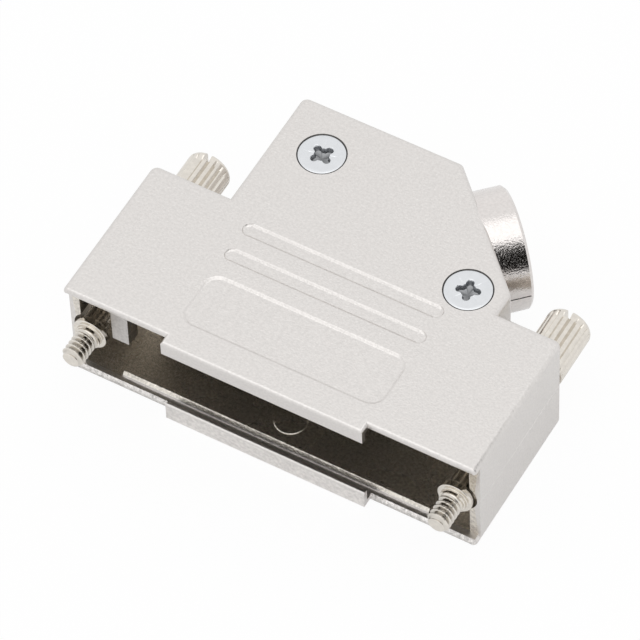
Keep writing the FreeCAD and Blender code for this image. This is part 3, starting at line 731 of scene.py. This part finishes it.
class HOOD_OT_shells(Operator):
    """Finish the two cast halves: satin outside, a darker inside as painted shade, and a smooth
    collar
    """

    bl_idname = "hood.shells"
    bl_label = "Cast shells"

    def execute(self, context):
        values = settings().shell
        plating, grain = values.plating, values.grain
        coarse = grain * 1.4
        # Name, colour, roughness, grain, bump in millimetres and mottle, from OUTSIDE to TAB
        looks = (
            ("satin_plating", plating, values.satin, grain, 0.045, 0.05),
            # A little darker than the outside plating: painted shade inside the hood
            ("inside_plating", values.inside, values.gloss_inside, grain, 0.05, 0.22),
            ("collar_plating", values.collar, 0.12, grain, 0.031, 0.06),
            # Near black: painted shade in the countersinks, in the gap round each screw head
            ("seam_shadow", shade(plating, 0.14), 0.5, grain, 0.01, 0.02),
            # Darker plating on the stop post's front: painted shade, with a rougher grain
            ("rough_post_painted_shade", shade(plating, 0.78), 0.4, grain, 0.05, 0.12),
            ("rough_lip", plating, 0.24, coarse, 0.22, 0.25),
            # Lighter plating on the tab's front: painted light, with a coarse grain
            ("tab_painted_light", shade(plating, 1.1), 0.28, coarse, 0.12, 0.13),
        )
        finishes = [
            plated_metal(name, colour, roughness, size, bump * MM, mottle)
            for name, colour, roughness, size, bump, mottle in looks
        ]
        for node in SHELL_NODES:
            mesh = merged_copy(node, f"{node}_cast")
            if node == "upper_shell":
                soften_recesses(mesh, values)
            soften_edges(mesh, values.edge_width, values.smooth_angle)
            keep_inside(mesh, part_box(node))
            finish_shading(mesh, values.smooth_angle)
            level_broad_faces(mesh, values.smooth_angle)
            piece = link(f"{node}_cast", mesh, *finishes)
            mesh.polygons.foreach_set("material_index", shell_regions(mesh, values.wall))
            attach(piece, HOUSING)
            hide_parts(node)
        return {"FINISHED"}


def shell_regions(mesh, wall):
    """The finish of each face.

    INSIDE is further in than the wall from the outline's straight sides, and the bore, COLLAR the
    collar, SEAM_SHADE the countersinks, POST_SHADE the front of the stop post, LIP the lower
    plate's front beside its tab, TAB that tab's front, and OUTSIDE the rest. INSIDE, SEAM_SHADE and
    POST_SHADE take darker colours, as painted shade, and TAB a lighter one, as painted light.
    """
    count = len(mesh.polygons)
    centres, normals = np.empty(count * 3), np.empty(count * 3)
    mesh.polygons.foreach_get("center", centres)
    mesh.polygons.foreach_get("normal", normals)
    centres, normals = centres.reshape(-1, 3), normals.reshape(-1, 3)
    x, y, z = centres.T
    roof, mouth_depth, cone_low = FACE - wall, 1.0 * MM, 5.5 * MM
    inside = (np.abs(z) < roof) & (np.abs(x) < CAD_BOX[1][0] - wall) & (y > mouth_depth)
    behind = (y > WING_BACK - wall) & ((x < NECK_LEFT + wall) | (x > NECK_RIGHT - wall))
    outward = (x + y) / math.sqrt(2)
    inside &= ~behind & (y < NECK_BACK - wall) & (outward < EXIT_FACE - wall)
    from_axis = np.hypot((x - y) / math.sqrt(2) + EXIT_ASIDE, z)
    bore = (from_axis < BORE_REACH) & (outward > EXIT_FACE - 2 * MM)
    collar = (from_axis > BORE_REACH) & (from_axis < COLLAR_REACH)
    collar &= outward > EXIT_FACE + 0.02 * MM
    regions = np.full(count, OUTSIDE, dtype=np.int32)
    regions[inside | bore] = INSIDE
    regions[collar] = COLLAR
    # The countersinks' sloped faces take the near black colour: painted shade in the gap round each
    # head
    for node in SCREW_NODES:
        low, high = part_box(node)
        from_screw = np.hypot(x - (low[0] + high[0]) / 2, y - (low[1] + high[1]) / 2)
        cone = (from_screw < (high[0] - low[0]) / 2 + 0.2 * MM) & (z > cone_low)
        regions[cone & (np.abs(normals[:, 2]) < 0.95)] = SEAM_SHADE
    # The stop post's front takes a darker copy of the plating: painted shade
    post = (np.abs(x - POST_X) < 1.2 * MM) & (np.abs(y - POST_Y) < 0.3 * MM)
    regions[post & (z > 0) & (z < roof) & (normals[:, 1] < -0.5)] = POST_SHADE
    front = (y < PLATE_FRONT) & (normals[:, 1] < -0.3)
    regions[front & (z < LIP_LOW) & (np.abs(x) > TAB_HALF_WIDTH)] = LIP
    # The tab's front takes a lighter copy of the plating: painted light
    regions[front & (z < TAB_LOW) & (np.abs(x) < TAB_HALF_WIDTH + 0.05 * MM)] = TAB
    return regions


class HOOD_OT_case_screws(Operator):
    """Build the two countersunk case screws with their cross recesses"""

    bl_idname = "hood.case_screws"
    bl_label = "Case screws"

    def execute(self, context):
        values = settings().case_screw
        # The recess is darkened by depth to 0.28 of the colour at its deepest: painted shade
        material = plated_metal("bluish_zinc", values.colour, roughness=0.28, grain=0.5 * MM,
                                depth=0.006 * MM, depths=0.28)
        for node, turn in zip(SCREW_NODES, (values.turn_rear, values.turn_side)):
            low, high = (Vector(corner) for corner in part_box(node))
            centre, head_radius = (low + high) / 2, (high.x - low.x) / 2
            rings, depths = case_screw_rings(values, centre, low.z, high.z, head_radius, turn)
            mesh = turned_mesh(f"{node}_plated", rings, depths, SCREW_SMOOTH)
            piece = link(f"{node}_plated", mesh, material)
            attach(piece, HOUSING)
            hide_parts(node)
        return {"FINISHED"}


class HOOD_OT_thumbscrews(Operator):
    """Build the two thumbscrews with their threads, shoulders, grooved knobs and slots"""

    bl_idname = "hood.thumbscrews"
    bl_label = "Thumbscrews"

    def execute(self, context):
        values = settings().thumbscrew
        # Thread roots and knob grooves are darkened by depth to 0.62 of the colour: painted shade
        material = plated_metal("turned_nickel", values.colour, roughness=0.11, grain=0.32 * MM,
                                depth=0.012 * MM, mottle=0.06, depths=0.62)
        for node, body in THUMBSCREW_BODIES.items():
            low, high = (Vector(corner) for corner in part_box(node))
            axis = (low.x + high.x) / 2
            slot_floor = high.y - values.slot_depth
            rings, depths = thumbscrew_rings(values, axis, low.y, high.y)
            mesh = turned_mesh(f"{node}_turned", rings, depths, THUMBSCREW_SMOOTH)
            cut_slot(mesh, axis, values.slot_width, slot_floor, THUMBSCREW_SMOOTH)
            piece = link(f"{node}_turned", mesh, material)
            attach(piece, body)
            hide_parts(node)
        return {"FINISHED"}


class HOOD_OT_cable_clamp(Operator):
    """Finish the cable clamp and its screws"""

    bl_idname = "hood.cable_clamp"
    bl_label = "Cable clamp"

    def execute(self, context):
        material = plated_metal("clamp_zinc", settings().clamp.colour, roughness=0.34,
                                grain=0.35 * MM, depth=0.006 * MM)
        for node in CLAMP_NODES:
            mesh = merged_copy(node, f"{node}_plated")
            finish_shading(mesh, CLAMP_SMOOTH)
            level_broad_faces(mesh, CLAMP_SMOOTH)
            piece = link(f"{node}_plated", mesh, material)
            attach(piece, HOUSING)
            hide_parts(node)
        return {"FINISHED"}


class HOOD_OT_studio(Operator):
    """Set up the pale floor, the soft light and the camera"""

    bl_idname = "hood.studio"
    bl_label = "Studio"

    def execute(self, context):
        values = settings().studio
        context.scene.view_settings.view_transform = "Standard"
        make_floor(values)
        make_world(context.scene, values)
        make_lamp()
        make_card("card_right", centre=(19.9 * MM, 31.1 * MM, 3.0 * MM), azimuth=53.0,
                  elevation=39.0, half_turn=18.0, half_rise=33.0, distance=52 * MM)
        make_camera(context.scene, values)
        return {"FINISHED"}


def make_floor(values):
    """A large level sheet just under the hood, finely divided towards its middle.

    Its lines lie at the reach times the square of an even share, with that share's sign.
    """
    reach, lines = 2.0, 9
    level = CAD_BOX[0][2] - 0.02 * MM
    share = np.linspace(-1, 1, lines)
    steps = np.sign(share) * share ** 2 * reach
    x, y = np.meshgrid(steps, steps)
    points = np.stack((x, y, np.full_like(x, level)), axis=-1).reshape(-1, 3)
    row, column = np.meshgrid(np.arange(lines - 1), np.arange(lines - 1), indexing="ij")
    start = (row * lines + column).ravel()
    faces = np.stack((start, start + 1, start + lines + 1, start + lines), axis=-1)
    mesh = bpy.data.meshes.new("floor_sheet")
    mesh.from_pydata(points.tolist(), [], faces.tolist())
    material = bpy.data.materials.new("pale_floor")
    material.use_nodes = True
    shader = material.node_tree.nodes["Principled BSDF"]
    shader.inputs["Base Color"].default_value = (*values.floor, 1.0)
    shader.inputs["Roughness"].default_value = 0.7
    shader.inputs["Specular IOR Level"].default_value = 0.0
    show_white(material, shader, share=0.95)
    link("floor_sheet", mesh, material)


def show_white(material, shader, share):
    """Let the camera see white for that share, and reflections for two fifths of it."""
    camera_to_mirror = 2.5
    nodes, links = material.node_tree.nodes, material.node_tree.links
    path = nodes.new("ShaderNodeLightPath")
    mirrored = nodes.new("ShaderNodeMath")
    mirrored.operation = "DIVIDE"
    mirrored.inputs[1].default_value = camera_to_mirror
    links.new(path.outputs["Is Glossy Ray"], mirrored.inputs[0])
    seen = nodes.new("ShaderNodeMath")
    seen.operation = "MAXIMUM"
    links.new(path.outputs["Is Camera Ray"], seen.inputs[0])
    links.new(mirrored.outputs[0], seen.inputs[1])
    part = nodes.new("ShaderNodeMath")
    part.operation = "MULTIPLY"
    part.inputs[1].default_value = share
    links.new(seen.outputs[0], part.inputs[0])
    white = nodes.new("ShaderNodeEmission")
    mixed = nodes.new("ShaderNodeMixShader")
    links.new(part.outputs[0], mixed.inputs["Fac"])
    links.new(shader.outputs[0], mixed.inputs[1])
    links.new(white.outputs[0], mixed.inputs[2])
    links.new(mixed.outputs[0], nodes["Material Output"].inputs["Surface"])


def make_card(name, centre, azimuth, elevation, half_turn, half_rise, distance):
    """A dark oval card round the centre, hidden from the camera but seen in reflections.

    At share s and turn t, a = azimuth + half_turn s cos t and e = elevation + half_rise s sin t,
    and the point lies at the centre plus the distance times (sin a cos e, -cos a cos e, sin e).
    """
    rings, columns = 6, 24
    share = np.linspace(0.05, 1, rings)[:, None]
    turn = np.linspace(0, FULL_TURN, columns, endpoint=False)[None, :]
    a = np.radians(azimuth + half_turn * share * np.cos(turn))
    e = np.radians(elevation + half_rise * share * np.sin(turn))
    towards = np.stack((np.sin(a) * np.cos(e), -np.cos(a) * np.cos(e), np.sin(e)), axis=-1)
    points = np.asarray(centre) + distance * towards
    faces = ring_faces(rings, columns).tolist() + [list(range(columns))]
    mesh = bpy.data.meshes.new(name)
    mesh.from_pydata(points.reshape(-1, 3).tolist(), [], faces)
    material = bpy.data.materials.new(name)
    material.use_nodes = True
    shader = material.node_tree.nodes["Principled BSDF"]
    shader.inputs["Base Color"].default_value = (0.012, 0.011, 0.010, 1.0)
    shader.inputs["Roughness"].default_value = 1.0
    shader.inputs["Specular IOR Level"].default_value = 0.0
    card = link(name, mesh, material)
    card.visible_camera = False
    card.visible_shadow = False
    card.visible_diffuse = False


def make_world(scene, values):
    """Even white light from all round, seen as pure white by the camera and in reflections."""
    world = bpy.data.worlds.new("soft_studio")
    world.use_nodes = True
    nodes, links = world.node_tree.nodes, world.node_tree.links
    background = nodes["Background"]
    background.inputs["Color"].default_value = (1.0, 1.0, 1.0, 1.0)
    path = nodes.new("ShaderNodeLightPath")
    seen = nodes.new("ShaderNodeMath")
    seen.operation = "MAXIMUM"
    links.new(path.outputs["Is Camera Ray"], seen.inputs[0])
    links.new(path.outputs["Is Glossy Ray"], seen.inputs[1])
    strength = nodes.new("ShaderNodeMapRange")
    strength.inputs["To Min"].default_value = values.sky
    strength.inputs["To Max"].default_value = 1.0
    links.new(seen.outputs[0], strength.inputs["Value"])
    links.new(strength.outputs["Result"], background.inputs["Strength"])
    scene.world = world


def make_lamp():
    """One broad soft box overhead, a little towards the front and right."""
    lamp = bpy.data.lights.new("overhead_box", "AREA")
    lamp.shape = "DISK"
    lamp.size = 1.08
    lamp.energy = 1.25
    holder = bpy.data.objects.new("overhead_box", lamp)
    place = Vector((0.04, -0.14, 0.79))
    aimed = (-place).to_track_quat("-Z", "Y").to_matrix().to_4x4()
    holder.matrix_world = Matrix.Translation(place) @ aimed
    bpy.context.scene.collection.objects.link(holder)


def make_camera(scene, values):
    """A long lens at the viewing angle, turned by the roll about its own axis."""
    azimuth, elevation = values.azimuth, values.elevation
    towards = Vector((
        math.sin(azimuth) * math.cos(elevation),
        -math.cos(azimuth) * math.cos(elevation),
        math.sin(elevation),
    ))
    level = Vector((math.cos(azimuth), math.sin(azimuth), 0.0))
    upright = towards.cross(level)
    right = level * math.cos(values.roll) + upright * math.sin(values.roll)
    up = upright * math.cos(values.roll) - level * math.sin(values.roll)
    data = bpy.data.cameras.new("camera")
    data.sensor_width = 36.0
    data.lens = values.lens
    data.clip_start = 0.01
    data.clip_end = 50.0
    camera = bpy.data.objects.new("camera", data)
    turn = Matrix((right, up, towards)).transposed().to_4x4()
    camera.matrix_world = Matrix.Translation(Vector(values.aim) + towards * values.distance) @ turn
    scene.collection.objects.link(camera)
    scene.camera = camera


OPERATORS = (
    HOOD_OT_shells,
    HOOD_OT_case_screws,
    HOOD_OT_thumbscrews,
    HOOD_OT_cable_clamp,
    HOOD_OT_studio,
)


class HOOD_PT_sidebar(Panel):
    """The hood's operators and settings"""

    bl_idname = "HOOD_PT_sidebar"
    bl_label = "Hood"
    bl_space_type = "VIEW_3D"
    bl_region_type = "UI"
    bl_category = "Hood"

    def draw(self, context):
        for operator in OPERATORS:
            self.layout.operator(operator.bl_idname)
        hood = settings()
        for group in (hood.shell, hood.thumbscrew, hood.case_screw, hood.clamp, hood.studio):
            box = self.layout.box()
            for name in group.bl_rna.properties.keys():
                if name not in ("rna_type", "name"):
                    box.prop(group, name)


CLASSES = (
    HoodShellSettings,
    HoodThumbscrewSettings,
    HoodCaseScrewSettings,
    HoodClampSettings,
    HoodStudioSettings,
    HoodSettings,
    *OPERATORS,
    HOOD_PT_sidebar,
)


def register():
    """Make the classes known and give the scene its settings."""
    for item in CLASSES:
        bpy.utils.register_class(item)
    bpy.types.Scene.hood = PointerProperty(type=HoodSettings)


def unregister():
    """Take the settings and the classes away again."""
    del bpy.types.Scene.hood
    for item in reversed(CLASSES):
        bpy.utils.unregister_class(item)


def main():
    """Register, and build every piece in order."""
    register()
    bpy.ops.hood.shells()
    bpy.ops.hood.case_screws()
    bpy.ops.hood.thumbscrews()
    bpy.ops.hood.cable_clamp()
    bpy.ops.hood.studio()


if __name__ == "__main__":
    main()
